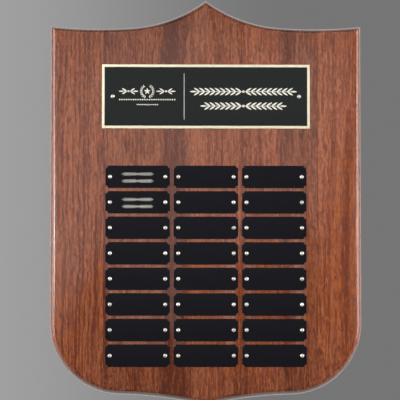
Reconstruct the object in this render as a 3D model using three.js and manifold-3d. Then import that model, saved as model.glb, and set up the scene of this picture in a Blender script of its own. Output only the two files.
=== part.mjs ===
// A shield-shaped wall plaque: an edge-glued walnut board that carries a header plate and three columns
// of name plates, and hangs from a keyhole plate let into its back.
//
// Millimetres. +X is right, +Z is up. The back lies on the wall plane y = 0 and the face looks along -Y.
// The origin is on the back, half-way across and half-way up the board.

import * as THREE from "three";
import { mergeVertices } from "three/addons/utils/BufferGeometryUtils.js";
import Module from "manifold-3d";

const wasm = await Module();
wasm.setup();

// ---------------------------------------------------------------- driving dimensions

const BOARD = {
  width: 304.8,
  height: 397.8,
  thickness: 19,
  cornerHeight: 173.35, // height of the two top corners
  peakRadius: 139, // hollow sweep on each side of the peak
  dipRadius: 439, // flatter hollow that carries on to the corner
  dipOffset: 105.5, // lowest point of that hollow, from the centre line
  sideEnd: -118.4, // height at which the straight side turns into the shoulder
  shoulderRadius: 70,
  tipRadius: 420, // hollow sweep on each side of the bottom tip
};
const EDGE = { width: 5.6, depth: 10, lip: 0.4 }; // rounded over, with a small square lip beside the face
const SEAMS = [-100.5, -14.5, 34.5, 71, 109.5]; // glue lines between the staves, from left to right
const GLUE_LINE = 0.1;

const HEADER = { width: 204, height: 63, thickness: 1, centreHeight: 103.2, screwOffset: 91.4 };
const NAME_PLATE = { width: 63, height: 22, thickness: 0.75, notchRadius: 2.5, screwOffset: 27.1 };
const GRID = { rows: 8, columns: 3, rowPitch: 25, columnPitch: 66.85, centreHeight: -63.4 };
const PLATE_FILM = 0.1; // adhesive film behind every plate

const PLATE_SCREW = {
  headRadius: 1.9,
  headHeight: 1.1,
  rim: 0.4, // the head's straight edge, under the dome
  shoulderRadius: 1.4, // where the dome bends from its steep side to its crown
  shoulderDrop: 0.2,
  crownRadius: 0.75,
  shankRadius: 0.8,
  length: 9,
  slotWidth: 0.5,
  slotDepth: 0.5,
};
const HEAD_SEAT = 0.05; // how far a screw head stands off the plate under it
const PLATE_HOLE_RADIUS = 1.1;
const PILOT_HOLE = { radius: 1.1, depth: 10 };

const KEYHOLE = {
  centreHeight: 140,
  width: 16,
  height: 46,
  thickness: 1.5,
  entryRadius: 4.8,
  slotRadius: 2.4,
  slotRise: 10, // from the centre of the entry hole up to the end of the slot
  entryDrop: 4, // the centre of the entry hole below the middle of the plate
  screwOffset: 18,
};
const RECESS_CLEARANCE = 0.3; // round the keyhole plate, and between it and the wood below
const POCKET = { width: 11, height: 26, depth: 10 }; // room for the wall screw's head behind the plate
const HANGER_SCREW = {
  headRadius: 2.6,
  rim: 0.2, // the head's straight edge, before the cone
  headHeight: 1.3,
  shankRadius: 1.2,
  length: 11,
  slotWidth: 0.7,
  slotDepth: 0.6,
};
const HANGER_HOLE = { radius: 1.6, depth: 13 };

const OVERCUT = 1; // every cutter starts and ends this far outside what it cuts
const SMALL_SIDES = 8; // sides of a small round hole
const SCREW_SIDES = 12;
const OUTLINE_STEPS = { peak: 10, dip: 6, shoulder: 16, tip: 6 }; // straight steps in the board's arcs
const EDGE_STEPS = 4;
const NOTCH_STEPS = 4;
const SLOT_END_STEPS = 8; // in the half circle at each end of a long slot
const KEYHOLE_STEPS = { entry: 14, slotEnd: 6 };

// ---------------------------------------------------------------- materials

const walnut = new THREE.MeshStandardMaterial({ color: "#7d4a35", roughness: 0.4 });
const blackLacquer = new THREE.MeshStandardMaterial({ color: "#1b1c20", roughness: 0.25, metalness: 0.3 });
const brass = new THREE.MeshStandardMaterial({ color: "#ecdfa4", roughness: 0.25, metalness: 1 });
const zincPlate = new THREE.MeshStandardMaterial({ color: "#b9bcc0", roughness: 0.35, metalness: 1 });

// ---------------------------------------------------------------- solids and meshes

/** The closed solid that a geometry encloses. */
function toSolid(geometry) {
  const bare = geometry.clone();
  bare.deleteAttribute("normal");
  bare.deleteAttribute("uv");
  const merged = mergeVertices(bare);
  return new wasm.Manifold(
    new wasm.Mesh({
      numProp: 3,
      vertProperties: merged.attributes.position.array,
      triVerts: Uint32Array.from(merged.index.array),
    }),
  );
}

/** A solid as a geometry again. */
function toGeometry(solid) {
  const mesh = solid.getMesh();
  const geometry = new THREE.BufferGeometry();
  geometry.setAttribute("position", new THREE.BufferAttribute(mesh.vertProperties, mesh.numProp));
  geometry.setIndex(new THREE.BufferAttribute(mesh.triVerts, 1));
  geometry.computeVertexNormals();
  return geometry;
}

function named(name, geometry, material) {
  const mesh = new THREE.Mesh(geometry, material);
  mesh.name = name;
  return mesh;
}

/** A round bar or hole along Y, between two depths. */
function barAlongY(x, z, radius, fromY, toY) {
  const bar = new THREE.CylinderGeometry(radius, radius, Math.abs(toY - fromY), SMALL_SIDES);
  return bar.translate(x, (fromY + toY) / 2, z);
}

/** A flat outline in X and Z, thickened from the plane y = 0 towards the front. */
function plateOf(outline, thickness, holes = []) {
  const shape = new THREE.Shape(outline);
  shape.holes = holes.map((hole) => new THREE.Path(hole));
  return new THREE.ExtrudeGeometry(shape, { depth: thickness, bevelEnabled: false }).rotateX(Math.PI / 2);
}

// ---------------------------------------------------------------- outlines

const at = (x, z) => new THREE.Vector2(x, z);

/** Points on a circle from one angle to another, both ends included. */
function arc(centre, radius, from, to, steps) {
  return Array.from({ length: steps + 1 }, (_, i) => {
    const angle = from + ((to - from) * i) / steps;
    return at(centre.x + radius * Math.cos(angle), centre.y + radius * Math.sin(angle));
  });
}

const circle = (x, z, radius) => arc(at(x, z), radius, 0, 2 * Math.PI, SMALL_SIDES).slice(0, -1);

/** The four corners of a rectangle centred on the origin, from the upper right and against the clock. */
const corners = (width, height) =>
  [at(1, 1), at(-1, 1), at(-1, -1), at(1, -1)].map(({ x, y }) => at((x * width) / 2, (y * height) / 2));

/** One of the two points where two circles meet: the one on the left of the way from a to b. */
function meeting(a, radiusA, b, radiusB) {
  const way = b.clone().sub(a);
  const apart = way.length();
  const along = (apart ** 2 + radiusA ** 2 - radiusB ** 2) / (2 * apart);
  const aside = Math.sqrt(radiusA ** 2 - along ** 2);
  way.divideScalar(apart);
  return at(a.x + way.x * along - way.y * aside, a.y + way.y * along + way.x * aside);
}

const angleTo = (from, to) => Math.atan2(to.y - from.y, to.x - from.x);

const halfWidth = BOARD.width / 2;
const halfHeight = BOARD.height / 2;

// The centres of the right-hand half's four arcs. Each pair of neighbours is tangent.
const dipRun = halfWidth - BOARD.dipOffset;
const dipCentre = at(BOARD.dipOffset, BOARD.cornerHeight + Math.sqrt(BOARD.dipRadius ** 2 - dipRun ** 2));
const peakCentre = meeting(
  dipCentre,
  BOARD.dipRadius - BOARD.peakRadius,
  at(0, halfHeight),
  BOARD.peakRadius,
);
const shoulderCentre = at(halfWidth - BOARD.shoulderRadius, BOARD.sideEnd);
const tipCentre = meeting(
  shoulderCentre,
  BOARD.shoulderRadius + BOARD.tipRadius,
  at(0, -halfHeight),
  BOARD.tipRadius,
);

/** The board's outline, moved inwards by `inset`: always the same number of points, in the same order. */
function shieldOutline(inset) {
  const peak = BOARD.peakRadius + inset;
  const dip = BOARD.dipRadius + inset;
  const tip = BOARD.tipRadius + inset;
  const peakJoin = angleTo(dipCentre, peakCentre);
  const shoulderJoin = angleTo(shoulderCentre, tipCentre);
  const tipJoin = angleTo(tipCentre, shoulderCentre);
  const peakEnd = -Math.acos(-peakCentre.x / peak);
  const cornerEnd = -Math.acos((halfWidth - inset - dipCentre.x) / dip);
  const tipEnd = Math.acos(-tipCentre.x / tip);
  const rightHalf = [
    ...arc(peakCentre, peak, peakEnd, peakJoin, OUTLINE_STEPS.peak),
    ...arc(dipCentre, dip, peakJoin, cornerEnd, OUTLINE_STEPS.dip).slice(1),
    ...arc(shoulderCentre, BOARD.shoulderRadius - inset, 0, shoulderJoin, OUTLINE_STEPS.shoulder),
    ...arc(tipCentre, tip, tipJoin, tipEnd, OUTLINE_STEPS.tip).slice(1),
  ];
  const leftHalf = rightHalf.slice(1, -1).reverse();
  return [...rightHalf, ...leftHalf.map((point) => at(-point.x, point.y))];
}

/** A rectangle centred on the origin, with a quarter circle bitten out of each corner. */
function notchedOutline(width, height, radius) {
  return corners(width, height).flatMap((corner, quarter) => {
    const start = ((quarter - 1) * Math.PI) / 2;
    return arc(corner, radius, start, start - Math.PI / 2, NOTCH_STEPS);
  });
}

/** A long slot with round ends, upright, centred on the given height. */
function slotOutline(width, height, centreHeight) {
  const radius = width / 2;
  const rise = height / 2 - radius;
  return [
    ...arc(at(0, centreHeight + rise), radius, 0, Math.PI, SLOT_END_STEPS),
    ...arc(at(0, centreHeight - rise), radius, Math.PI, 2 * Math.PI, SLOT_END_STEPS),
  ];
}

// ---------------------------------------------------------------- board

/** The board's outlines from back to face. The rounded edge is a quarter of an ellipse. */
function boardRings() {
  const sideY = EDGE.depth - BOARD.thickness; // where the straight side ends and the rounding begins
  const rise = EDGE.depth - EDGE.lip;
  const rounding = Array.from({ length: EDGE_STEPS + 1 }, (_, i) => {
    const turn = (i / EDGE_STEPS) * (Math.PI / 2);
    const inset = EDGE.width * (1 - Math.cos(turn));
    return { y: sideY - rise * Math.sin(turn), outline: shieldOutline(inset) };
  });
  const back = { y: 0, outline: shieldOutline(0) };
  const face = { y: -BOARD.thickness, outline: shieldOutline(EDGE.width) };
  return [back, ...rounding, face];
}

/** The whole board in one piece, before it is parted at the seams. */
function boardGeometry() {
  const rings = boardRings();
  const count = rings[0].outline.length;
  const positions = rings.flatMap(({ y, outline }) => outline.flatMap((point) => [point.x, y, point.y]));
  const indices = [];
  for (let ring = 0; ring + 1 < rings.length; ring += 1) {
    for (let i = 0; i < count; i += 1) {
      const near = ring * count + i;
      const next = ring * count + ((i + 1) % count);
      indices.push(near, near + count, next, next, near + count, next + count);
    }
  }
  const front = (rings.length - 1) * count;
  for (const [a, b, c] of THREE.ShapeUtils.triangulateShape(rings[0].outline, [])) {
    indices.push(a, c, b);
  }
  for (const [a, b, c] of THREE.ShapeUtils.triangulateShape(rings.at(-1).outline, [])) {
    indices.push(front + a, front + b, front + c);
  }
  const geometry = new THREE.BufferGeometry();
  geometry.setAttribute("position", new THREE.Float32BufferAttribute(positions, 3));
  geometry.setIndex(indices);
  return geometry;
}

const headerScrewXs = [-HEADER.screwOffset, HEADER.screwOffset];
const namePlateCentres = Array.from({ length: GRID.rows * GRID.columns }, (_, i) => {
  const row = Math.floor(i / GRID.columns);
  const column = i % GRID.columns;
  return {
    row,
    column,
    x: (column - (GRID.columns - 1) / 2) * GRID.columnPitch,
    z: GRID.centreHeight + ((GRID.rows - 1) / 2 - row) * GRID.rowPitch,
  };
});

/** Every place on the face where a plate's screw goes into the wood. */
const plateScrewPlaces = [
  ...headerScrewXs.map((x) => ({ x, z: HEADER.centreHeight })),
  ...namePlateCentres.flatMap(({ x, z }) => [
    { x: x - NAME_PLATE.screwOffset, z },
    { x: x + NAME_PLATE.screwOffset, z },
  ]),
];
const hangerScrewHeights = [1, -1].map((side) => KEYHOLE.centreHeight + side * KEYHOLE.screwOffset);

/** What is routed and drilled out of the board's back for the keyhole plate. */
function hangerCuts() {
  const grow = 2 * RECESS_CLEARANCE;
  const recessOutline = slotOutline(KEYHOLE.width + grow, KEYHOLE.height + grow, KEYHOLE.centreHeight);
  const recess = plateOf(recessOutline, KEYHOLE.thickness + RECESS_CLEARANCE + OVERCUT);
  const pocketOutline = slotOutline(POCKET.width, POCKET.height, KEYHOLE.centreHeight);
  const pocket = plateOf(pocketOutline, POCKET.depth + OVERCUT);
  const { radius, depth } = HANGER_HOLE;
  const holes = hangerScrewHeights.map((z) => barAlongY(0, z, radius, OVERCUT, -depth));
  return [recess.translate(0, OVERCUT, 0), pocket.translate(0, OVERCUT, 0), ...holes].map(toSolid);
}

function staves() {
  const board = toSolid(boardGeometry());
  const faceY = -BOARD.thickness;
  const pilots = plateScrewPlaces.map(({ x, z }) =>
    toSolid(barAlongY(x, z, PILOT_HOLE.radius, faceY - OVERCUT, faceY + PILOT_HOLE.depth)),
  );
  const drilled = [...pilots, ...hangerCuts()].reduce((wood, cutter) => wood.subtract(cutter), board);
  const sides = [-halfWidth - OVERCUT, ...SEAMS, halfWidth + OVERCUT];
  return sides.slice(1).map((right, i) => {
    const left = sides[i];
    const slab = new THREE.BoxGeometry(right - left - GLUE_LINE, 3 * BOARD.thickness, 2 * BOARD.height);
    const stave = drilled.intersect(toSolid(slab.translate((left + right) / 2, 0, 0)));
    return named(`board_stave_${i + 1}`, toGeometry(stave), walnut);
  });
}

// ---------------------------------------------------------------- plates

function headerPlate() {
  const { width, height, thickness, centreHeight } = HEADER;
  const holes = headerScrewXs.map((x) => circle(x, 0, PLATE_HOLE_RADIUS));
  const plate = named("header_plate", plateOf(corners(width, height), thickness, holes), blackLacquer);
  plate.position.set(0, -(BOARD.thickness + PLATE_FILM), centreHeight);
  return plate;
}

function namePlates() {
  const { width, height, thickness, notchRadius, screwOffset } = NAME_PLATE;
  const outline = notchedOutline(width, height, notchRadius);
  const holes = [-screwOffset, screwOffset].map((x) => circle(x, 0, PLATE_HOLE_RADIUS));
  const geometry = plateOf(outline, thickness, holes);
  return namePlateCentres.map(({ row, column, x, z }) => {
    const plate = named(`name_plate_row${row + 1}_col${column + 1}`, geometry, blackLacquer);
    plate.position.set(x, -(BOARD.thickness + PLATE_FILM), z);
    return plate;
  });
}

// ---------------------------------------------------------------- fasteners

/** Cuts a screwdriver slot across the top of a screw's head, which is at y = 0. */
function slotted(body, { headRadius, slotWidth, slotDepth }) {
  const slot = new THREE.BoxGeometry(4 * headRadius, 2 * slotDepth, slotWidth);
  return toGeometry(toSolid(body).subtract(toSolid(slot)));
}

/** A small round-head screw: the head's crown is at y = 0 and the point reaches along +Y. */
function roundHeadScrew(size) {
  const { headRadius, headHeight, shankRadius, length } = size;
  const point = headHeight + length;
  const profile = [
    at(0, 0),
    at(size.crownRadius, 0),
    at(size.shoulderRadius, size.shoulderDrop),
    at(headRadius, headHeight - size.rim),
    at(headRadius, headHeight),
    at(shankRadius, headHeight),
    at(shankRadius, point - 2 * shankRadius),
    at(0, point),
  ];
  return slotted(new THREE.LatheGeometry(profile, SCREW_SIDES), size);
}

/** A countersunk screw: the flat head is at y = 0 and the point reaches along +Y. */
function flatHeadScrew(size) {
  const { headRadius, rim, headHeight, shankRadius, length } = size;
  const profile = [
    at(0, 0),
    at(headRadius, 0),
    at(headRadius, rim),
    at(shankRadius, headHeight),
    at(shankRadius, length - 2 * shankRadius),
    at(0, length),
  ];
  return slotted(new THREE.LatheGeometry(profile, SCREW_SIDES), size);
}

function headerScrews() {
  const geometry = roundHeadScrew(PLATE_SCREW);
  const crownY = -(BOARD.thickness + PLATE_FILM + HEADER.thickness + HEAD_SEAT + PLATE_SCREW.headHeight);
  return headerScrewXs.map((x, i) => {
    const screw = named(`header_screw_${["left", "right"][i]}`, geometry, brass);
    screw.position.set(x, crownY, HEADER.centreHeight);
    return screw;
  });
}

// ---------------------------------------------------------------- hanger

/** The keyhole: a round entry with a narrower slot that rises from it. */
function keyholeOutline() {
  const { entryRadius, slotRadius, slotRise } = KEYHOLE;
  const open = Math.asin(slotRadius / entryRadius); // half the angle that the slot takes out of the entry
  return [
    ...arc(at(0, 0), entryRadius, Math.PI / 2 + open, 2.5 * Math.PI - open, KEYHOLE_STEPS.entry),
    ...arc(at(0, slotRise - slotRadius), slotRadius, 0, Math.PI, KEYHOLE_STEPS.slotEnd),
  ];
}

function keyholePlate() {
  const { width, height, thickness, centreHeight } = KEYHOLE;
  const keyhole = keyholeOutline().map((point) => at(point.x, point.y - KEYHOLE.entryDrop));
  const body = toSolid(plateOf(slotOutline(width, height, 0), thickness, [keyhole]));
  const seatRadius = HANGER_SCREW.headRadius + RECESS_CLEARANCE;
  const sinks = [1, -1].map((side) => {
    const profile = [
      at(0, -thickness - OVERCUT),
      at(seatRadius, -thickness - OVERCUT),
      at(seatRadius, HANGER_SCREW.rim - thickness),
      at(HANGER_HOLE.radius, HANGER_SCREW.headHeight - thickness),
      at(HANGER_HOLE.radius, OVERCUT),
      at(0, OVERCUT),
    ];
    const sink = new THREE.LatheGeometry(profile, SCREW_SIDES);
    return toSolid(sink.translate(0, 0, side * KEYHOLE.screwOffset));
  });
  const sunk = sinks.reduce((plate, sink) => plate.subtract(sink), body);
  const plate = named("keyhole_plate", toGeometry(sunk), zincPlate);
  plate.rotation.z = Math.PI;
  plate.position.set(0, -thickness, centreHeight);
  return plate;
}

function hangerScrews() {
  const geometry = flatHeadScrew(HANGER_SCREW);
  return hangerScrewHeights.map((z, i) => {
    const screw = named(`keyhole_screw_${["upper", "lower"][i]}`, geometry, zincPlate);
    screw.rotation.z = Math.PI;
    screw.position.set(0, 0, z);
    return screw;
  });
}

// ---------------------------------------------------------------- assembly

const plaque = new THREE.Group();
plaque.add(...staves(), headerPlate(), ...headerScrews(), ...namePlates(), keyholePlate(), ...hangerScrews());

export default plaque;
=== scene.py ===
# The looks of a shield-shaped walnut award plaque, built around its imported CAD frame.
#
# Metres, in the frame's own axes: +X is right, +Z is up, the back lies on y = 0 and the face looks
# along -Y.
# Outlines are drawn on the face as complex numbers, x + z j.

import cmath
import math
import random
from collections import namedtuple

import bmesh
import bpy
from mathutils import Matrix, Vector

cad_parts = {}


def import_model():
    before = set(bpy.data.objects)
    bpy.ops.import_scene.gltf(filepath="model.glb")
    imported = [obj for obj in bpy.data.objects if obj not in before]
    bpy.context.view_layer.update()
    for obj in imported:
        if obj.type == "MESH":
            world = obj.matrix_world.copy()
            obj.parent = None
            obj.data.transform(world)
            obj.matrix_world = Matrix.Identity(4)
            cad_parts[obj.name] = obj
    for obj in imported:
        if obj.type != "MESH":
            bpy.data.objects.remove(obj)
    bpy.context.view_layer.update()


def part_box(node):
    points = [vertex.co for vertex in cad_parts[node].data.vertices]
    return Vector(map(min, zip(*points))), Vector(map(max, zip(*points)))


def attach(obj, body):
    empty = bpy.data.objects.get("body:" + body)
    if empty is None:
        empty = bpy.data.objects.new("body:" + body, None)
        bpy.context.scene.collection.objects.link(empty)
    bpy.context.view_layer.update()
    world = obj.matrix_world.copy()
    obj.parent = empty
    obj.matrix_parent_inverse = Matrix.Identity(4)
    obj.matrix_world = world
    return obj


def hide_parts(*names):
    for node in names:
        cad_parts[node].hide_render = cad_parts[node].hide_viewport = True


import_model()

MM = 0.001
QUARTER = math.pi / 2
CREASE = 35  # degrees: edges sharper than this stay sharp

# ---------------------------------------------------------------- driving dimensions

CAMERA_PLACE = Vector((-0.0639, -3.019, -0.2128))
CAMERA_AIM = Vector((-0.0058, -0.019, 0.0014))
LENS = 276.5  # in millimetres, on a 36 mm sensor

STAVES = [f"board_stave_{i + 1}" for i in range(6)]
STAVE_BOXES = [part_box(name) for name in STAVES]
HALF_WIDTH = max(high.x for _, high in STAVE_BOXES)
HALF_HEIGHT = max(high.z for _, high in STAVE_BOXES)
FACE_Y = min(low.y for low, _ in STAVE_BOXES)

CORNER_HEIGHT = 173.35 * MM  # of the board's two top corners
PEAK_RADIUS = 139 * MM  # hollow sweep on each side of the peak
DIP_RADIUS = 439 * MM  # flatter hollow that carries on to the corner
DIP_OFFSET = 105.5 * MM  # lowest point of that hollow, from the centre line
SIDE_END = -118.4 * MM  # where the straight side turns into the shoulder
SHOULDER_RADIUS = 70 * MM
TIP_RADIUS = 420 * MM  # hollow sweep on each side of the bottom tip

EDGE_WIDTH = 5.6 * MM  # of the rounding round the face
EDGE_DEPTH = 10 * MM
EDGE_LIP = 0.4 * MM  # small square step between the rounding and the face
WOOD_ARRIS = 0.6 * MM  # how far the board's other corners are eased
LIP_ARRIS = 0.15 * MM
ARRIS_STEPS = 4
EDGE_STEPS = 14
LIP_STEPS = 2
OUTLINE_STEPS = (28, 18, 40, 24)  # along the peak's sweep, the dip, the shoulder and the tip's sweep

PILOT_RADIUS = 1.1 * MM
PILOT_DEPTH = 10 * MM
OVERCUT = 1 * MM  # every cutter starts and ends this far outside what it cuts

HEADER_BORDER = 2.55 * MM  # bare brass round the lacquered field
LACQUER_FILM = 0.06 * MM
ENGRAVING = 0.03 * MM  # how far bare brass stands above the lacquer round it
PLATE_ARRIS = 0.15 * MM
PLATE_ARRIS_STEPS = 3
PLATE_HOLE_RADIUS = 1.1 * MM
NAME_NOTCH_RADIUS = 2.5 * MM
NOTCH_STEPS = 8
NAME_SCREW_OFFSET = 27.1 * MM
NAME_ROWS = 8
NAME_COLUMNS = 3

HEAD_RADIUS = 1.9 * MM  # of the plate screws
HEAD_HEIGHT = 1.1 * MM
HEAD_RIM = 0.25 * MM
HEAD_DOME_WIDTH = 0.92 * HEAD_RADIUS  # the rounded part, round a flat crown
HEAD_DOME_STEPS = 8
HEAD_CROWN_RADIUS = 0.05 * HEAD_RADIUS
POINT_WIDTH = 0.1  # of a screw's point, for each unit of its shank's width
SHANK_RADIUS = 0.8 * MM
SHANK_LENGTH = 9 * MM
HEAD_SLOT = (0.5 * MM, 0.45 * MM)  # width and depth
HEAD_SEAT = 0.05 * MM  # how far a head stands off the plate under it
SLOT_REACH = 8 * MM  # of a cutter for driver slots, wider than any head
SCREW_CREASE = 40

HANGER_ENTRY_RADIUS = 4.8 * MM
HANGER_SLOT_RADIUS = 2.4 * MM
HANGER_SLOT_RISE = 10 * MM
HANGER_ENTRY_DROP = 4 * MM
HANGER_CLEARANCE = 0.3 * MM
HANGER_HOLE_RADIUS = 1.6 * MM
HANGER_HOLE_DEPTH = 13 * MM
SLOT_END_STEPS = 20
KEYHOLE_STEPS = 36
KEYHOLE_SLOT_STEPS = 16
POCKET_SIZE = (11 * MM, 26 * MM, 10 * MM)  # width, height and depth
SINK_RADIUS = 2.6 * MM  # of the countersunk heads
SINK_RIM = 0.2 * MM
SINK_ARRIS = 0.25 * SINK_RIM
SINK_HEIGHT = 1.3 * MM
SINK_SHANK_RADIUS = 1.2 * MM
SINK_SLOT = (0.7 * MM, 0.6 * MM)

FLOOR_HEIGHT = -0.34


# ---------------------------------------------------------------- outlines


def arc(centre, radius, start, end, steps):
    """Points on a circle from one angle to another, both ends included."""
    return [centre + cmath.rect(radius, start + (end - start) * i / steps) for i in range(steps + 1)]


def circle(centre, radius, sides=32):
    return arc(centre, radius, 0, 2 * math.pi, sides)[:-1]


def meeting(a, radius_a, b, radius_b):
    """Of the two points where two circles meet, the one on the left of the way from a to b."""
    way = b - a
    apart = abs(way)
    along = (apart**2 + radius_a**2 - radius_b**2) / (2 * apart)
    aside = math.sqrt(radius_a**2 - along**2)
    return a + way / apart * complex(along, aside)


dip_run = HALF_WIDTH - DIP_OFFSET
dip_centre = complex(DIP_OFFSET, CORNER_HEIGHT + math.sqrt(DIP_RADIUS**2 - dip_run**2))
peak_centre = meeting(dip_centre, DIP_RADIUS - PEAK_RADIUS, 1j * HALF_HEIGHT, PEAK_RADIUS)
shoulder_centre = complex(HALF_WIDTH - SHOULDER_RADIUS, SIDE_END)
tip_centre = meeting(shoulder_centre, SHOULDER_RADIUS + TIP_RADIUS, -1j * HALF_HEIGHT, TIP_RADIUS)


def shield(inset):
    """The board's outline moved inwards: always as many points, in the same order, from the peak round."""
    peak = PEAK_RADIUS + inset
    dip = DIP_RADIUS + inset
    tip = TIP_RADIUS + inset
    peak_join = cmath.phase(peak_centre - dip_centre)
    corner_end = -math.acos((HALF_WIDTH - inset - dip_centre.real) / dip)
    shoulder_join = cmath.phase(tip_centre - shoulder_centre)
    tip_join = cmath.phase(shoulder_centre - tip_centre)
    peak_steps, dip_steps, shoulder_steps, tip_steps = OUTLINE_STEPS
    right = arc(peak_centre, peak, -math.acos(-peak_centre.real / peak), peak_join, peak_steps)
    right += arc(dip_centre, dip, peak_join, corner_end, dip_steps)[1:]
    right += arc(shoulder_centre, SHOULDER_RADIUS - inset, 0, shoulder_join, shoulder_steps)
    right += arc(tip_centre, tip, tip_join, math.acos(-tip_centre.real / tip), tip_steps)[1:]
    left = [complex(-point.real, point.imag) for point in reversed(right[1:-1])]
    return right + left


def rectangle(width, height, centre=0j):
    """Gives a function from an inset to a rectangle's outline moved inwards by it."""

    def outline(inset):
        x = width / 2 - inset
        z = height / 2 - inset
        return [centre + complex(*corner) for corner in ((x, z), (-x, z), (-x, -z), (x, -z))]

    return outline


def notched(width, height, notch, centre=0j):
    """As rectangle, with a quarter circle bitten out of each corner."""

    def outline(inset):
        radius = notch + inset
        skip = math.asin(inset / radius)
        points = []
        for quarter, corner in enumerate(rectangle(width, height, centre)(0)):
            start = (quarter - 1) * QUARTER
            points += arc(corner, radius, start - skip, start - QUARTER + skip, NOTCH_STEPS)
        return points

    return outline


def long_slot(width, height, centre=0j):
    """As rectangle, upright and with round ends."""

    def outline(inset):
        radius = width / 2 - inset
        rise = 1j * (height - width) / 2
        top = arc(centre + rise, radius, 0, math.pi, SLOT_END_STEPS)
        return top + arc(centre - rise, radius, -math.pi, 0, SLOT_END_STEPS)

    return outline


# ---------------------------------------------------------------- bodies


def ring(outline, y):
    return [Vector((point.real, y, point.imag)) for point in outline]


def rounding(width, depth, steps):
    """A quarter ellipse as (inset, rise) pairs: it leaves the side square on and ends flat on the face."""
    turns = [QUARTER * i / steps for i in range(steps + 1)]
    return [(width * (1 - math.cos(turn)), depth * math.sin(turn)) for turn in turns]


def add_loft(bm, rings):
    """Adds a closed body: the rings joined in turn, with a flat cap on the first and on the last."""
    loops = [[bm.verts.new(point) for point in points] for points in rings]
    for near, far in zip(loops, loops[1:]):
        for i, corner in enumerate(near):
            bm.faces.new((near[i - 1], corner, far[i], far[i - 1]))
    bm.faces.new(loops[0])
    bm.faces.new(list(reversed(loops[-1])))


def add_plate(bm, outline, back, front, arris=PLATE_ARRIS):
    """Adds a plate between two depths, with the rim of its front rounded."""
    rim = rounding(arris, arris, PLATE_ARRIS_STEPS)
    rings = [ring(outline(0), back)]
    rings += [ring(outline(inset), front + arris - rise) for inset, rise in rim]
    add_loft(bm, rings)


def add_bar(bm, centre, radius, from_y, to_y, sides=24):
    """Adds a round bar along Y."""
    add_loft(bm, [ring(circle(centre, radius, sides), y) for y in (from_y, to_y)])


def add_lathe(bm, centre, profile, sides=32):
    """Adds a body turned about a line along Y. Its profile is (radius, y) pairs."""
    add_loft(bm, [ring(circle(centre, radius, sides), y) for radius, y in profile])


def smooth(mesh, crease):
    mesh.shade_smooth()
    mesh.set_sharp_from_angle(angle=math.radians(crease))


def link(name, data):
    """Makes an object of a mesh, a light or a camera and puts it in the scene."""
    placed = bpy.data.objects.new(name, data)
    bpy.context.scene.collection.objects.link(placed)
    return placed


def to_object(name, bm, *materials, crease=CREASE):
    """Makes an object of the bmesh, smooth but for its creases, in degrees."""
    bmesh.ops.recalc_face_normals(bm, faces=bm.faces)
    mesh = bpy.data.meshes.new(name)
    bm.to_mesh(mesh)
    bm.free()
    smooth(mesh, crease)
    for material in materials:
        mesh.materials.append(material)
    return link(name, mesh)


def carve(piece, bm, crease=CREASE):
    """Cuts the bodies in a bmesh out of an object."""
    cutter = to_object("cutter", bm)
    cut = piece.modifiers.new("cut", "BOOLEAN")
    cut.operation = "DIFFERENCE"
    cut.solver = "EXACT"
    cut.object = cutter
    depsgraph = bpy.context.evaluated_depsgraph_get()
    mesh = bpy.data.meshes.new_from_object(piece.evaluated_get(depsgraph))
    piece.modifiers.clear()
    piece.data = mesh
    smooth(mesh, crease)
    bpy.data.objects.remove(cutter)
    return piece


def finish_piece(piece, slot, *nodes):
    """Every piece rides on the plaque's one body and may stand for CAD nodes, which are hidden. Its slot is
    not used.
    """
    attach(piece, "root")
    if nodes:
        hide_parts(*nodes)


# ---------------------------------------------------------------- materials


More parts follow.
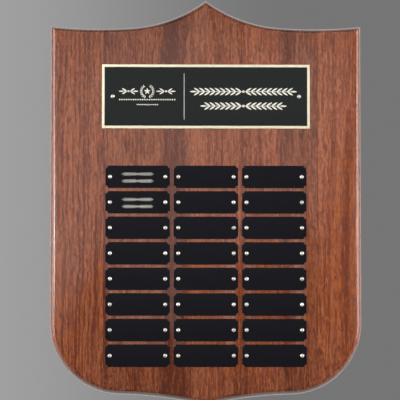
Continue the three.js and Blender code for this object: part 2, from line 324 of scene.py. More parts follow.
class Shading:
    """A material with a Principled shader, and short ways to add the nodes that feed it."""

    def __init__(self, name, **plain):
        self.material = bpy.data.materials.new(name)
        self.material.use_nodes = True
        self.tree = self.material.node_tree
        self.shader = self.tree.nodes["Principled BSDF"]
        self.place = self.add("TexCoord").outputs["Object"]
        for socket, value in plain.items():
            self.feed(self.shader.inputs[socket.replace("_", " ")], value)

    def feed(self, socket, value):
        if isinstance(value, bpy.types.NodeSocket):
            self.tree.links.new(value, socket)
        else:
            socket.default_value = value

    def add(self, kind, *values, **settings):
        """Adds a node and feeds its sockets in order. A value of None leaves its socket alone."""
        node = self.tree.nodes.new("ShaderNode" + kind)
        for setting, value in settings.items():
            setattr(node, setting, value)
        for socket, value in zip(node.inputs, values):
            if value is not None:
                self.feed(socket, value)
        return node

    def math(self, operation, *values):
        return self.add("Math", *values, operation=operation).outputs[0]

    def vector(self, operation, *values):
        return self.add("VectorMath", *values, operation=operation).outputs[0]

    def stretched(self, scales, offset=(0, 0, 0), place=None):
        """Coordinates scaled on each axis: large scales give small detail. By default the object's own."""
        return self.vector("MULTIPLY", self.vector("ADD", place or self.place, offset), scales)

    def noise(self, vector, detail=2.0, roughness=0.5):
        node = self.add("TexNoise")
        self.feed(node.inputs["Vector"], vector)
        self.feed(node.inputs["Scale"], 1.0)
        self.feed(node.inputs["Detail"], detail)
        self.feed(node.inputs["Roughness"], roughness)
        return node.outputs["Fac"]

    def fade(self, value, start, end, low=0.0, high=1.0):
        """low where the value is at or before start, high at or past end, and smooth between them."""
        node = self.add("MapRange", value, start, end, low, high, interpolation_type="SMOOTHSTEP")
        return node.outputs["Result"]

    def mix(self, factor, first, second, blend="MIX"):
        """Two colours mixed, on the sockets that a Mix node has for colours."""
        node = self.add("Mix", data_type="RGBA", blend_type=blend)
        first_socket, second_socket = [socket for socket in node.inputs if socket.type == "RGBA"]
        self.feed(node.inputs["Factor"], factor)
        self.feed(first_socket, first)
        self.feed(second_socket, second)
        return next(socket for socket in node.outputs if socket.type == "RGBA")

    def colour(self, value):
        self.feed(self.shader.inputs["Base Color"], value)

    def roughness(self, value):
        self.feed(self.shader.inputs["Roughness"], value)

    def bump(self, height, distance, strength=1.0):
        node = self.add("Bump")
        self.feed(node.inputs["Strength"], strength)
        self.feed(node.inputs["Distance"], distance)
        self.feed(node.inputs["Height"], height)
        self.feed(self.shader.inputs["Normal"], node.outputs["Normal"])


def rgb(red, green, blue):
    return (red, green, blue, 1.0)


# How each stave was sawn. heart: x and y of the tree's pith at z = 0, lean: how far it drifts in x and y
# per metre of height, ring: the width of a year ring, late: how dark the late wood is, tone: how light
# the stave is, streaks: dark heartwood streaks as (x, half width, strength).
Figure = namedtuple("Figure", "heart lean ring late tone streaks")
TWO_DARK_STREAKS = [(-0.030, 0.012, 0.78), (-0.101, 0.003, 0.5)]
TWO_FAINT_STREAKS = [(0.083, 0.006, 0.4), (0.098, 0.005, 0.3)]
FIGURES = [
    Figure((-0.420, 0.090), (0.02, 0.00), 3.9 * MM, 0.72, 1.01, []),
    Figure((-0.072, 0.052), (0.05, -0.10), 5.2 * MM, 0.35, 0.90, TWO_DARK_STREAKS),
    Figure((0.110, 0.075), (-0.03, 0.04), 4.2 * MM, 0.30, 0.98, [(0.032, 0.004, 0.3)]),
    Figure((-0.060, 0.060), (0.02, 0.05), 3.8 * MM, 0.35, 1.09, [(0.036, 0.003, 0.35)]),
    Figure((0.230, 0.080), (-0.04, 0.00), 3.6 * MM, 0.30, 0.87, TWO_FAINT_STREAKS),
    Figure((0.060, 0.045), (0.09, 0.03), 4.6 * MM, 0.20, 1.13, [(0.136, 0.003, 0.2)]),
]

WOOD_LIGHT = rgb(0.350, 0.105, 0.046)
WOOD_MIDDLE = rgb(0.235, 0.055, 0.018)
WOOD_DARK = rgb(0.112, 0.018, 0.004)
WOOD_PORE = rgb(0.060, 0.010, 0.003)
# What the wood's colour is multiplied by: where its fibres end at the surface, and where it turns orange.
END_GRAIN = rgb(0.50, 0.55, 0.65)
WOOD_WARM = rgb(1.08, 1.04, 0.80)
FACE_ROUGHNESS = (0.15, 0.28)  # of pale, dense grain and of dark, open grain
EDGE_ROUGHNESS = 0.2
EDGE_POLISH = 1.5 * MM  # how far down the rounding that roughness is reached
WOOD_SPECULAR = 0.9
PORE_DEPTH = 0.02 * MM

# How fine the wood's patterns are across, in depth and along the grain, in cells per metre.
WANDER_SCALES = (16, 16, 3.2)
RIPPLE_SCALES = (110, 110, 45)
PORE_SCALES = (1000, 1000, 130)
WARMTH_SCALES = (260, 260, 40)
ZONE_SCALES = (0.31, 2.0)  # cells per year ring, and per metre along the grain
SEED_STEPS = (1.7, 0.9, 2.3)  # how far each stave's patterns are moved from the last one's
ZONE_SEED_STEP = 3.1

# How far the wood strays.
RING_WANDER = 30 * MM
RIPPLE = 4 * MM  # of the rings and the grain
STREAK_BEND = 20 * MM

# The stretch of a value in which something appears, from none of it to all of it.
NOISE_SPAN = (0.28, 0.72)  # nearly all of a noise lies between these
LATE_WOOD_SPAN = (0.35, 0.92)  # of a year
YEAR_END_SPAN = (1.0, 0.94)
ZONE_SPAN = (0.35, 0.70)
PORE_SPAN = (0.60, 0.68)
WARMTH_SPAN = (0.4, 0.7)
MIDDLE_SPAN = (-0.3, 0.5)  # of darkness
DARK_SPAN = (0.3, 1.2)
OPEN_GRAIN_SPAN = (-0.6, 0.6)
END_GRAIN_SPAN = (0.1, 0.7)  # of how far the surface looks up or down
STREAK_SPAN = (1.4, 0.4)  # of a streak's half width

YEAR_DEPTHS = (0.4, 1.0)  # how dark late wood is in the palest year and in the darkest
ZONE_DEPTH = 0.45
PORE_STRENGTH = 0.6

# Layers of grain: long streaks, strokes, flecks and fine fibre. scales: as above, noise: its detail and
# roughness, depth: how far it darkens or lightens the wood.
Grain = namedtuple("Grain", "scales noise depth")
GRAIN_LAYERS = [
    Grain((430, 430, 6), (3, 0.6), 0.32),
    Grain((620, 620, 80), (2, 0.55), 0.33),
    Grain((700, 700, 260), (2, 0.5), 0.34),
    Grain((1400, 1400, 60), (1, 0.6), 0.30),
]


def year_rings(s, figure, wander, ripple):
    """How many year rings a place is from the pith."""
    x, y, z = s.add("SeparateXYZ", s.place).outputs
    heart_x = s.math("MULTIPLY_ADD", z, figure.lean[0], figure.heart[0])
    heart_y = s.math("MULTIPLY_ADD", z, figure.lean[1], figure.heart[1])
    across = s.math("POWER", s.math("SUBTRACT", x, heart_x), 2)
    inward = s.math("POWER", s.math("SUBTRACT", y, heart_y), 2)
    radius = s.math("SQRT", s.math("ADD", across, inward))
    radius = s.math("MULTIPLY_ADD", wander, RING_WANDER, radius)
    radius = s.math("MULTIPLY_ADD", ripple, RIPPLE, radius)
    return s.math("DIVIDE", radius, figure.ring)


def late_wood(s, rings):
    """The dark wood at the end of each year, which differs a little from year to year."""
    year = s.math("FLOOR", rings)
    season = s.math("FRACT", rings)
    late = s.math("MULTIPLY", s.fade(season, *LATE_WOOD_SPAN), s.fade(season, *YEAR_END_SPAN))
    year_tone = s.add("TexWhiteNoise", None, year, noise_dimensions="1D").outputs["Value"]
    return s.math("MULTIPLY", late, s.fade(year_tone, 0.0, 1.0, *YEAR_DEPTHS))


def dark_zones(s, rings, z, seed):
    """Whole groups of years that are darker than the rest."""
    per_ring, per_metre = ZONE_SCALES
    place = s.add("CombineXYZ", s.math("MULTIPLY", rings, per_ring), s.math("MULTIPLY", z, per_metre), seed)
    zone = s.noise(place.outputs[0], detail=3, roughness=0.6)
    return s.fade(zone, *ZONE_SPAN, 0.0, ZONE_DEPTH)


def dark_streak(s, x, wander, middle_x, half_width, strength):
    """A streak of dark heartwood, which bends as the rings wander."""
    bend = s.math("MULTIPLY_ADD", s.math("SUBTRACT", wander, 0.5), STREAK_BEND, middle_x)
    off = s.math("ABSOLUTE", s.math("SUBTRACT", x, bend))
    none_at, all_at = STREAK_SPAN
    return s.fade(off, half_width * all_at, half_width * none_at, strength, 0.0)


def wood_colour(s, darkness, pores, warmth, tone):
    """Pale to dark wood with pores and patches of orange, and darker where its fibres end."""
    wood = s.mix(s.fade(darkness, *MIDDLE_SPAN), WOOD_LIGHT, WOOD_MIDDLE)
    wood = s.mix(s.fade(darkness, *DARK_SPAN), wood, WOOD_DARK)
    wood = s.mix(s.math("MULTIPLY", pores, PORE_STRENGTH), wood, WOOD_PORE)
    wood = s.mix(s.fade(warmth, *WARMTH_SPAN), wood, WOOD_WARM, blend="MULTIPLY")
    upwards = s.add("SeparateXYZ", s.add("TexCoord").outputs["Normal"]).outputs["Z"]
    ends = s.fade(s.math("ABSOLUTE", upwards), *END_GRAIN_SPAN)
    wood = s.mix(ends, wood, END_GRAIN, blend="MULTIPLY")
    return s.vector("MULTIPLY", wood, (tone, tone, tone))


def walnut(index, figure):
    """Satin-lacquered walnut as a solid: year rings round the pith, colour zones, grain and pores."""
    s = Shading(f"walnut_{index + 1}", Specular_IOR_Level=WOOD_SPECULAR)
    seed = tuple(index * step for step in SEED_STEPS)
    x, y, z = s.add("SeparateXYZ", s.place).outputs
    wander = s.noise(s.stretched(WANDER_SCALES, seed), detail=3)
    ripple = s.noise(s.stretched(RIPPLE_SCALES, seed), detail=3)
    sway = s.add("CombineXYZ", s.math("MULTIPLY", ripple, RIPPLE)).outputs[0]
    grain = s.vector("ADD", s.place, sway)
    layers = [s.noise(s.stretched(layer.scales, seed, grain), *layer.noise) for layer in GRAIN_LAYERS]
    fine = 0.0
    for layer, pattern in zip(GRAIN_LAYERS, layers):
        fine = s.math("ADD", fine, s.fade(pattern, *NOISE_SPAN, -layer.depth, layer.depth))
    pores = s.fade(s.noise(s.stretched(PORE_SCALES, seed, grain), detail=1), *PORE_SPAN)
    warmth = s.noise(s.stretched(WARMTH_SCALES, seed[::-1], grain), detail=2)

    rings = year_rings(s, figure, wander, ripple)
    zones = dark_zones(s, rings, z, index * ZONE_SEED_STEP)
    darkness = s.math("MULTIPLY_ADD", late_wood(s, rings), figure.late, zones)
    darkness = s.math("ADD", darkness, fine)
    for streak in figure.streaks:
        darkness = s.math("ADD", darkness, dark_streak(s, x, wander, *streak))
    s.colour(wood_colour(s, darkness, pores, warmth, figure.tone))

    face_roughness = s.fade(fine, *OPEN_GRAIN_SPAN, *FACE_ROUGHNESS)
    polish = s.add("MapRange", y, FACE_Y, FACE_Y + EDGE_POLISH, face_roughness, EDGE_ROUGHNESS)
    s.roughness(polish.outputs["Result"])
    fibre = layers[-1]
    s.bump(s.math("MULTIPLY_ADD", pores, -1.0, fibre), PORE_DEPTH)
    return s.material


LACQUER_SPECULAR = 0.1
LACQUER_PEEL = (700, 700, 700)
DULL_PATCHES = (120, 120, 120)
FINE_GRAIN = (4000, 4000, 4000)
FINISH_BUMP = 0.004 * MM  # how deep the finest marks are, in lacquer and bare metal alike


def lacquer(name, base, roughness):
    """Satin lacquer sprayed on brass: a faint orange peel and a little dust in the gloss."""
    s = Shading(name, Base_Color=base, Specular_IOR_Level=LACQUER_SPECULAR)
    peel = s.noise(s.stretched(LACQUER_PEEL), detail=2)
    s.roughness(s.fade(peel, 0.3, 0.7, roughness * 0.95, roughness * 1.05))
    s.bump(peel, FINISH_BUMP)
    return s.material


def metal(name, light, dull, roughness, grain):
    """Bright metal with a fine directional grain and slightly duller patches."""
    s = Shading(name, Metallic=1.0)
    patches = s.noise(s.stretched(DULL_PATCHES), detail=4)
    lines = s.noise(s.stretched(grain), detail=2)
    s.colour(s.mix(s.fade(patches, 0.35, 0.75), light, dull))
    s.roughness(s.fade(lines, 0.3, 0.7, roughness * 0.9, roughness * 1.1))
    s.bump(lines, FINISH_BUMP)
    return s.material


black_lacquer = lacquer("black_lacquer", rgb(0.0075, 0.0070, 0.0105), 0.34)
header_lacquer = lacquer("header_lacquer", rgb(0.0190, 0.0225, 0.0215), 0.36)
brass = metal("satin_brass", rgb(1.00, 0.95, 0.74), rgb(0.97, 0.90, 0.67), 0.62, (300, 300, 6000))
engraved_brass = metal("engraved_brass", rgb(0.98, 0.96, 0.86), rgb(0.92, 0.89, 0.78), 0.60, FINE_GRAIN)
screw_brass = metal("screw_brass", rgb(0.99, 0.95, 0.84), rgb(0.92, 0.86, 0.72), 0.42, FINE_GRAIN)
zinc = metal("zinc_plate", rgb(0.60, 0.62, 0.64), rgb(0.48, 0.49, 0.50), 0.34, (5000, 5000, 300))
walnuts = [walnut(i, figure) for i, figure in enumerate(FIGURES)]


# ---------------------------------------------------------------- board


def board_profile():
    """(inset, y) of each ring of the board's surface, from its back to its face."""
    back = [(inset, rise - WOOD_ARRIS) for inset, rise in rounding(WOOD_ARRIS, WOOD_ARRIS, ARRIS_STEPS)]
    edge = rounding(EDGE_WIDTH, EDGE_DEPTH - EDGE_LIP, EDGE_STEPS)
    lip = rounding(LIP_ARRIS, LIP_ARRIS, LIP_STEPS)
    profile = list(reversed(back))
    profile += [(inset, FACE_Y + EDGE_DEPTH - rise) for inset, rise in edge]
    profile += [(EDGE_WIDTH + inset, FACE_Y + LIP_ARRIS - rise) for inset, rise in lip]
    return profile


def part_at_seams(board, low, high):
    """A copy of the board's bmesh between two upright planes, closed again along them."""
    piece = board.copy()
    for x, outwards in ((low, -1), (high, 1)):
        if abs(x) > HALF_WIDTH - OVERCUT:
            continue
        everything = piece.verts[:] + piece.edges[:] + piece.faces[:]
        plane = {"plane_co": (x, 0, 0), "plane_no": (outwards, 0, 0)}
        bmesh.ops.bisect_plane(piece, geom=everything, clear_outer=True, **plane)
        bmesh.ops.edgeloop_fill(piece, edges=[edge for edge in piece.edges if edge.is_boundary])
    return piece


def name_plate_name(row, column):
    return f"name_plate_row{row + 1}_col{column + 1}"


NAME_PLATES = [(row, column) for row in range(NAME_ROWS) for column in range(NAME_COLUMNS)]


def middle(low, high):
    """The middle of a box as a point on the face."""
    return complex((low.x + high.x) / 2, (low.z + high.z) / 2)


def screw_places():
    """Every place on the face with a plate screw, and the depth of the plate's front there, by its name."""
    places = {}
    for side in ("left", "right"):
        low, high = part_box(f"header_screw_{side}")
        places[f"header_screw_{side}"] = (middle(low, high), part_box("header_plate")[0].y)
    for row, column in NAME_PLATES:
        low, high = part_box(name_plate_name(row, column))
        for side, offset in (("left", -NAME_SCREW_OFFSET), ("right", NAME_SCREW_OFFSET)):
            name = f"name_screw_row{row + 1}_col{column + 1}_{side}"
            places[name] = (middle(low, high) + offset, low.y)
    return places


SCREW_PLACES = screw_places()
HANGER_LOW, HANGER_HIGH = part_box("keyhole_plate")
HANGER_MIDDLE = middle(HANGER_LOW, HANGER_HIGH)
HANGER_SIZE = HANGER_HIGH - HANGER_LOW
HANGER_SCREWS = {name: middle(*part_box(name)) for name in ("keyhole_screw_upper", "keyhole_screw_lower")}


def carve_hanger_recess(stave):
    """Routs the shallow recess for the keyhole plate, the deeper pocket behind it and its screw holes."""
    grow = 2 * HANGER_CLEARANCE
    recess = (HANGER_SIZE.x + grow, HANGER_SIZE.z + grow, HANGER_SIZE.y + HANGER_CLEARANCE)
    for width, height, depth in (recess, POCKET_SIZE):
        outline = long_slot(width, height, HANGER_MIDDLE)
        bm = bmesh.new()
        add_loft(bm, [ring(outline(0), y) for y in (OVERCUT, -depth)])
        carve(stave, bm)
    holes = bmesh.new()
    for place in HANGER_SCREWS.values():
        add_bar(holes, place, HANGER_HOLE_RADIUS, OVERCUT, -HANGER_HOLE_DEPTH)
    carve(stave, holes)


def staves():
    board = bmesh.new()
    add_loft(board, [ring(shield(inset), y) for inset, y in board_profile()])
    bmesh.ops.recalc_face_normals(board, faces=board.faces)
    for name, (low, high), material in zip(STAVES, STAVE_BOXES, walnuts):
        stave = to_object(name + "_wood", part_at_seams(board, low.x, high.x), material)
        pilots = bmesh.new()
        for place, _ in SCREW_PLACES.values():
            if low.x < place.real < high.x:
                add_bar(pilots, place, PILOT_RADIUS, FACE_Y - OVERCUT, FACE_Y + PILOT_DEPTH)
        if pilots.verts:
            carve(stave, pilots)
        if low.x < HANGER_MIDDLE.real < high.x:
            carve_hanger_recess(stave)
        finish_piece(stave, "walnut", name)
    board.free()


# ---------------------------------------------------------------- plates


def header_plate():
    """A brass sheet with a field of lacquer on it, and bare brass left showing as the border."""
    low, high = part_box("header_plate")
    centre = middle(low, high)
    width = high.x - low.x
    height = high.z - low.z
    screws = [place for name, (place, _) in SCREW_PLACES.items() if name.startswith("header")]
    brass_body = bmesh.new()
    add_plate(brass_body, rectangle(width, height, centre), high.y, low.y + LACQUER_FILM)
    sheet = to_object("header_sheet", brass_body, brass)
    film_body = bmesh.new()
    film_size = (width - 2 * HEADER_BORDER, height - 2 * HEADER_BORDER)
    add_plate(film_body, rectangle(*film_size, centre), low.y + LACQUER_FILM, low.y, LACQUER_FILM / 2)
    field = to_object("header_field", film_body, header_lacquer)
    for piece, slot in ((sheet, "polished_brass"), (field, "black_lacquer")):
        holes = bmesh.new()
        for place in screws:
            add_bar(holes, place, PLATE_HOLE_RADIUS, high.y + OVERCUT, low.y - OVERCUT)
        carve(piece, holes)
        finish_piece(piece, slot, "header_plate")


def name_plates():
    """Lacquered brass plates with a notch in each corner. The sheared edges show bare brass."""
    for row, column in NAME_PLATES:
        name = name_plate_name(row, column)
        low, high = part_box(name)
        centre = middle(low, high)
        bm = bmesh.new()
        add_plate(bm, notched(high.x - low.x, high.z - low.z, NAME_NOTCH_RADIUS, centre), high.y, low.y)
        plate = to_object(name + "_sheet", bm, black_lacquer, brass)
        holes = bmesh.new()
        for offset in (-NAME_SCREW_OFFSET, NAME_SCREW_OFFSET):
            add_bar(holes, centre + offset, PLATE_HOLE_RADIUS, high.y + OVERCUT, low.y - OVERCUT)
        carve(plate, holes)
        for face in plate.data.polygons:
            is_side = abs(face.normal.y) < 0.1
            face.material_index = int(is_side)
        finish_piece(plate, "black_lacquer", name)


# ---------------------------------------------------------------- engraving

# Garlands as (x and z of the middle from the plate's own middle, length, height).
HEADER_GARLANDS = [
    (complex(36.8, 4.8) * MM, 103 * MM, 8.2 * MM),
    (complex(36.8, -9.4) * MM, 82 * MM, 8.2 * MM),
]
EMBLEM_PLACE = complex(-57.6, 5.0) * MM
EMBLEM_GARLANDS = [(side * 18.4 * MM, 19 * MM, 6.6 * MM) for side in (1, -1)]
EMBLEM_STAR = (3.5 * MM, 1.4 * MM)  # outer and inner radius
EMBLEM_WREATH = 5.9 * MM
EMBLEM_BEADS = [(-8.2j * MM, 56 * MM, 0.75 * MM), (-13.1j * MM, 22 * MM, 0.6 * MM)]  # the last: radius
DIVIDER_PLACE = -21.4 * MM
DIVIDER_SIZE = (0.46 * MM, 45.5 * MM)
NAME_GARLANDS = [(2.7j * MM, 31 * MM, 4.0 * MM), (-4.2j * MM, 31 * MM, 4.0 * MM)]
HEADER_LEAF = 0.205  # width of a garland's leaf for each millimetre of the garland's height
NAME_LEAF = 0.11


def add_engraving(bm, points, y):
    add_loft(bm, [ring(points, y), ring(points, y - ENGRAVING)])


def star(centre, outer, inner):
    radii = (outer, inner)
    return [centre + cmath.rect(radii[i % 2], QUARTER + i * math.pi / 5) for i in range(10)]


def leaf(base, direction, length, width):
    """A pointed oval from its base outwards: two arcs that meet in a point at each end."""
    half = length / 2
    radius = (half**2 + (width / 2) ** 2) / width
    sweep = math.asin(half / radius)
    centre = half + 1j * (width / 2 - radius)
    upper = arc(centre, radius, QUARTER + sweep, QUARTER - sweep, steps=8)
    lower = [point.conjugate() for point in reversed(upper[1:-1])]
    turn = cmath.rect(1, direction)
    return [base + point * turn for point in upper + lower]


def wreath(bm, centre, y, radius):
    """Two laurel branches that rise from the bottom and curve towards each other."""
    pairs = 8
    first = math.radians(16)
    pitch = math.radians(17.5)
    splay = 0.62
    leaf_size = (0.36 * radius, 0.13 * radius)
    for side in (1, -1):
        for i in range(pairs):
            angle = -QUARTER + side * (first + pitch * i)
            base = centre + cmath.rect(radius, angle)
            along = angle + side * QUARTER
            for lean in (splay, -splay):
                add_engraving(bm, leaf(base, along + lean, *leaf_size), y)


def garland(bm, centre, y, length, height, slimness=HEADER_LEAF):
    """Laurel leaves in pairs on a fine stem, which run both ways from a bead in the middle."""
    leaf_length = 0.86 * height
    leaf_width = slimness * height
    bead_radius = 0.16 * height
    stem_width = 0.07 * height
    pitch = 0.62 * height
    splay = 0.55
    tip_reach = leaf_length * math.cos(splay)
    pairs = round((length / 2 - tip_reach) / pitch)
    add_engraving(bm, circle(centre, bead_radius, sides=16), y)
    add_engraving(bm, rectangle(2 * pairs * pitch, stem_width, centre)(0), y)
    for side in (0, math.pi):
        outwards = cmath.rect(1, side)
        for i in range(pairs):
            base = centre + outwards * (0.4 + i) * pitch
            for lean in (splay, -splay):
                add_engraving(bm, leaf(base, side + lean, leaf_length, leaf_width), y)
        add_engraving(bm, leaf(centre + outwards * pairs * pitch, side, leaf_length, leaf_width), y)


def beads(bm, centre, y, length, radius):
    """A row of small round beads."""
    pitch = 3 * radius
    count = round(length / pitch)
    for i in range(count):
        add_engraving(bm, circle(centre + (i - (count - 1) / 2) * pitch, radius, sides=12), y)


def header_engraving():
    """The divider and, in place of any lettering, a star in a laurel wreath, garlands and beads."""
    low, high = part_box("header_plate")
    centre = middle(low, high)
    bm = bmesh.new()
    emblem = centre + EMBLEM_PLACE
    add_engraving(bm, star(emblem, *EMBLEM_STAR), low.y)
    wreath(bm, emblem, low.y, EMBLEM_WREATH)
    for place, length, height in EMBLEM_GARLANDS:
        garland(bm, emblem + place, low.y, length, height)
    for place, length, radius in EMBLEM_BEADS:
        beads(bm, emblem + place, low.y, length, radius)
    for place, length, height in HEADER_GARLANDS:
        garland(bm, centre + place, low.y, length, height)
    finish_piece(to_object("header_engraving", bm, engraved_brass), "polished_brass")
    divider = bmesh.new()
    add_engraving(divider, rectangle(*DIVIDER_SIZE, centre + DIVIDER_PLACE)(0), low.y)
    finish_piece(to_object("header_divider", divider, engraved_brass), "polished_brass")


def name_engraving(row):
    """Two fine garlands on a plate of the first column, in place of a name and a date."""
    low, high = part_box(name_plate_name(row, 0))
    bm = bmesh.new()
    for place, length, height in NAME_GARLANDS:
        garland(bm, middle(low, high) + place, low.y, length, height, NAME_LEAF)
    finish_piece(to_object(f"name_engraving_row{row + 1}", bm, engraved_brass), "polished_brass")


# ---------------------------------------------------------------- screws


def round_head_profile():
    """(radius, y) from the point of the screw to its crown, with the underside of the head on y = 0."""
    dome = rounding(HEAD_DOME_WIDTH, HEAD_HEIGHT - HEAD_RIM, HEAD_DOME_STEPS)[:-1]
    profile = [(POINT_WIDTH * SHANK_RADIUS, SHANK_LENGTH)]
    profile += [(SHANK_RADIUS, SHANK_LENGTH - 2 * SHANK_RADIUS), (SHANK_RADIUS, 0), (HEAD_RADIUS, 0)]
    profile += [(HEAD_RADIUS - inset, -HEAD_RIM - rise) for inset, rise in dome]
    return profile + [(HEAD_CROWN_RADIUS, -HEAD_HEIGHT)]


def flat_head_profile(length):
    """(radius, y) from the point of a countersunk screw to its flat head, which is on y = 0."""
    return [
        (POINT_WIDTH * SINK_SHANK_RADIUS, -length),
        (SINK_SHANK_RADIUS, 2 * SINK_SHANK_RADIUS - length),
        (SINK_SHANK_RADIUS, -SINK_HEIGHT),
        (SINK_RADIUS, -SINK_RIM),
        (SINK_RADIUS, -SINK_ARRIS),
        (SINK_RADIUS - SINK_ARRIS, 0),
    ]


def slotted_screw(name, profile, crown, slot_size, material):
    """A turned screw with a driver slot across its crown, which is at the depth given."""
    bm = bmesh.new()
    add_lathe(bm, 0j, profile)
    screw = to_object(name, bm, material, crease=SCREW_CREASE)
    width, depth = slot_size
    slot = bmesh.new()
    outline = rectangle(SLOT_REACH, width)(0)
    add_loft(slot, [ring(outline, y) for y in (crown - depth, crown + depth)])
    return carve(screw, slot, crease=SCREW_CREASE)


def plate_screws():
    """One round-head screw is made, then copied to every place with its slot turned at random."""
    turns = random.Random(4)
    pattern = slotted_screw("pattern", round_head_profile(), -HEAD_HEIGHT, HEAD_SLOT, screw_brass)
    for name, (place, plate_front) in SCREW_PLACES.items():
        mesh = pattern.data.copy()
        turn = Matrix.Rotation(turns.uniform(0, math.pi), 4, "Y")
        seat = Vector((place.real, plate_front - HEAD_SEAT, place.imag))
        mesh.transform(Matrix.Translation(seat) @ turn)
        if name.startswith("header"):
            finish_piece(link(name + "_slotted", mesh), "polished_brass", name)
        else:
            finish_piece(link(name, mesh), "polished_brass")
    bpy.data.objects.remove(pattern)


# ---------------------------------------------------------------- hanger


def keyhole_outline():
    """A round entry with a narrower slot that rises from it."""
    entry = HANGER_MIDDLE - 1j * HANGER_ENTRY_DROP
    opening = math.asin(HANGER_SLOT_RADIUS / HANGER_ENTRY_RADIUS)
    slot_end = entry + 1j * (HANGER_SLOT_RISE - HANGER_SLOT_RADIUS)
    around = arc(entry, HANGER_ENTRY_RADIUS, QUARTER + opening, 5 * QUARTER - opening, KEYHOLE_STEPS)
    return around + arc(slot_end, HANGER_SLOT_RADIUS, 0, math.pi, KEYHOLE_SLOT_STEPS)


def keyhole_plate():
    bm = bmesh.new()
    outline = long_slot(HANGER_SIZE.x, HANGER_SIZE.z, HANGER_MIDDLE)
    rim = rounding(PLATE_ARRIS, PLATE_ARRIS, PLATE_ARRIS_STEPS)
    rings = [ring(outline(0), HANGER_LOW.y)]
    rings += [ring(outline(inset), rise - PLATE_ARRIS) for inset, rise in rim]
    add_loft(bm, rings)
    plate = to_object("keyhole_plate_steel", bm, zinc)
    keyhole = bmesh.new()
    add_loft(keyhole, [ring(keyhole_outline(), y) for y in (HANGER_LOW.y - OVERCUT, OVERCUT)])
    carve(plate, keyhole)
    sinks = bmesh.new()
    seat = SINK_RADIUS + HANGER_CLEARANCE
    profile = [(HANGER_HOLE_RADIUS, HANGER_LOW.y - OVERCUT), (HANGER_HOLE_RADIUS, -SINK_HEIGHT)]
    profile += [(seat, -SINK_RIM), (seat, OVERCUT)]
    for place in HANGER_SCREWS.values():
        add_lathe(sinks, place, profile)
    carve(plate, sinks)
    finish_piece(plate, "zinc_steel", "keyhole_plate")


def keyhole_screws():
    for name, place in HANGER_SCREWS.items():
        low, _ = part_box(name)
        screw = slotted_screw(name + "_slotted", flat_head_profile(-low.y), 0, SINK_SLOT, zinc)
        screw.data.transform(Matrix.Translation((place.real, 0, place.imag)))
        finish_piece(screw, "zinc_steel", name)


# ---------------------------------------------------------------- studio


def aim(placed, place, target):
    """Puts a camera or a light at one place and turns it towards another."""
    placed.location = place
    placed.rotation_euler = (Vector(target) - Vector(place)).to_track_quat("-Z", "Y").to_euler()


def camera():
    data = bpy.data.cameras.new("camera")
    data.lens = LENS
    data.clip_end = 20
    view = link("camera", data)
    aim(view, CAMERA_PLACE, CAMERA_AIM)
    bpy.context.scene.camera = view


# Rectangular lights of even brightness. spread is how wide one throws, in degrees. left, right, top and
# sheen stand in front of the plaque. Its rounded edge mirrors the panels beside, below and above it.
SoftBox = namedtuple("SoftBox", "name place target size radiance spread")
SOFT_BOXES = [
    SoftBox("left", (-1.1, -1.1, 0.33), (-0.05, 0, 0.05), (1.0, 0.6), 0.55, 29),
    SoftBox("right", (1.1, -1.1, 0.3), (0, 0, -0.06), (1.0, 0.6), 0.44, 29),
    SoftBox("top", (0, -1.1, 1.1), (0, 0, 0), (0.5, 0.5), 0.15, 60),
    SoftBox("sheen", (-0.15, -1.5, 0.38), (0, 0, 0), (1.1, 1.06), 0.76, 180),
    SoftBox("panel_left", (-1.5, -0.35, 0.05), (0, -0.35, 0.05), (1.3, 0.9), 3.3, 180),
    SoftBox("panel_right", (1.5, -0.35, 0.05), (0, -0.35, 0.05), (1.3, 0.9), 3.3, 180),
    SoftBox("below", (0, 0.37, -0.33), (0, 0.37, 0), (1.6, 0.86), 0.85, 180),
    SoftBox("above", (0, 0.3, 0.62), (0, 0.3, 0), (1.6, 0.8), 0.5, 180),
]


def lights():
    for box in SOFT_BOXES:
        data = bpy.data.lights.new(box.name, "AREA")
        data.shape = "RECTANGLE"
        data.size, data.size_y = box.size
        data.energy = box.radiance * math.pi * box.size[0] * box.size[1]
        data.spread = math.radians(box.spread)
        light = link(box.name, data)
        aim(light, box.place, box.target)
        light.visible_camera = False


# The world's ramps as (direction axis, where on it the ramp starts and ends, its brightness at each end).
# The first, from front to back, lights the plaque and is mirrored in it. The camera sees the second.
STUDIO_RAMP = ("Y", -0.05, 0.8, 0.02, 0.85)
BACKGROUND_RAMP = ("X", -0.06, 0.05, 0.36, 0.18)
RAMP_SOCKETS = ("From Min", "From Max", "To Min", "To Max")


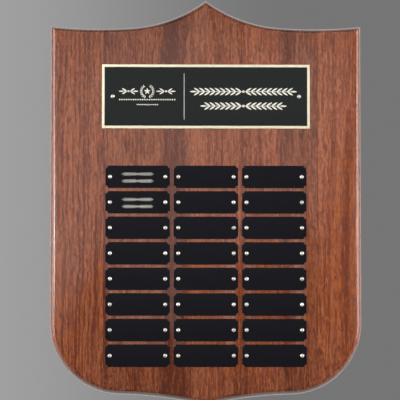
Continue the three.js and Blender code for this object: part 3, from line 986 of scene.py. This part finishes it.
def world():
    """Grey behind the plaque, darker to the right. What it lights or is mirrored in is brighter behind."""
    studio = bpy.data.worlds.new("studio")
    studio.use_nodes = True
    tree = studio.node_tree
    tree.nodes.clear()
    direction = tree.nodes.new("ShaderNodeTexCoord")
    parts = tree.nodes.new("ShaderNodeSeparateXYZ")
    tree.links.new(direction.outputs["Generated"], parts.inputs[0])
    rays = tree.nodes.new("ShaderNodeLightPath")
    either = tree.nodes.new("ShaderNodeMixShader")
    output = tree.nodes.new("ShaderNodeOutputWorld")
    tree.links.new(rays.outputs["Is Camera Ray"], either.inputs[0])
    tree.links.new(either.outputs[0], output.inputs["Surface"])
    _, for_light, for_camera = either.inputs
    for socket, (axis, *span) in ((for_light, STUDIO_RAMP), (for_camera, BACKGROUND_RAMP)):
        ramp = tree.nodes.new("ShaderNodeMapRange")
        ramp.interpolation_type = "SMOOTHSTEP"
        tree.links.new(parts.outputs[axis], ramp.inputs["Value"])
        for name, value in zip(RAMP_SOCKETS, span):
            ramp.inputs[name].default_value = value
        background = tree.nodes.new("ShaderNodeBackground")
        tree.links.new(ramp.outputs["Result"], background.inputs["Color"])
        tree.links.new(background.outputs[0], socket)
    bpy.context.scene.world = studio


FLOOR_RADIUS = 2.4
FLOOR_FADE = (0.8, 2.3)  # how far from the middle it starts to fade, and where it is gone


def floor():
    """A grey floor that fades into the background with distance."""
    bm = bmesh.new()
    outline = circle(0j, FLOOR_RADIUS, sides=64)
    bm.faces.new([bm.verts.new((point.real, point.imag, FLOOR_HEIGHT)) for point in outline])
    s = Shading("floor", Base_Color=rgb(0.22, 0.22, 0.22), Roughness=0.8)
    distance = s.add("VectorMath", s.place, operation="LENGTH").outputs["Value"]
    s.feed(s.shader.inputs["Alpha"], s.fade(distance, *FLOOR_FADE, 1.0, 0.0))
    to_object("floor", bm, s.material)


camera()
world()
lights()
floor()
staves()
header_plate()
header_engraving()
name_plates()
for engraved_row in (0, 1):
    name_engraving(engraved_row)
plate_screws()
keyhole_plate()
keyhole_screws()

bpy.context.scene.view_settings.view_transform = "Standard"
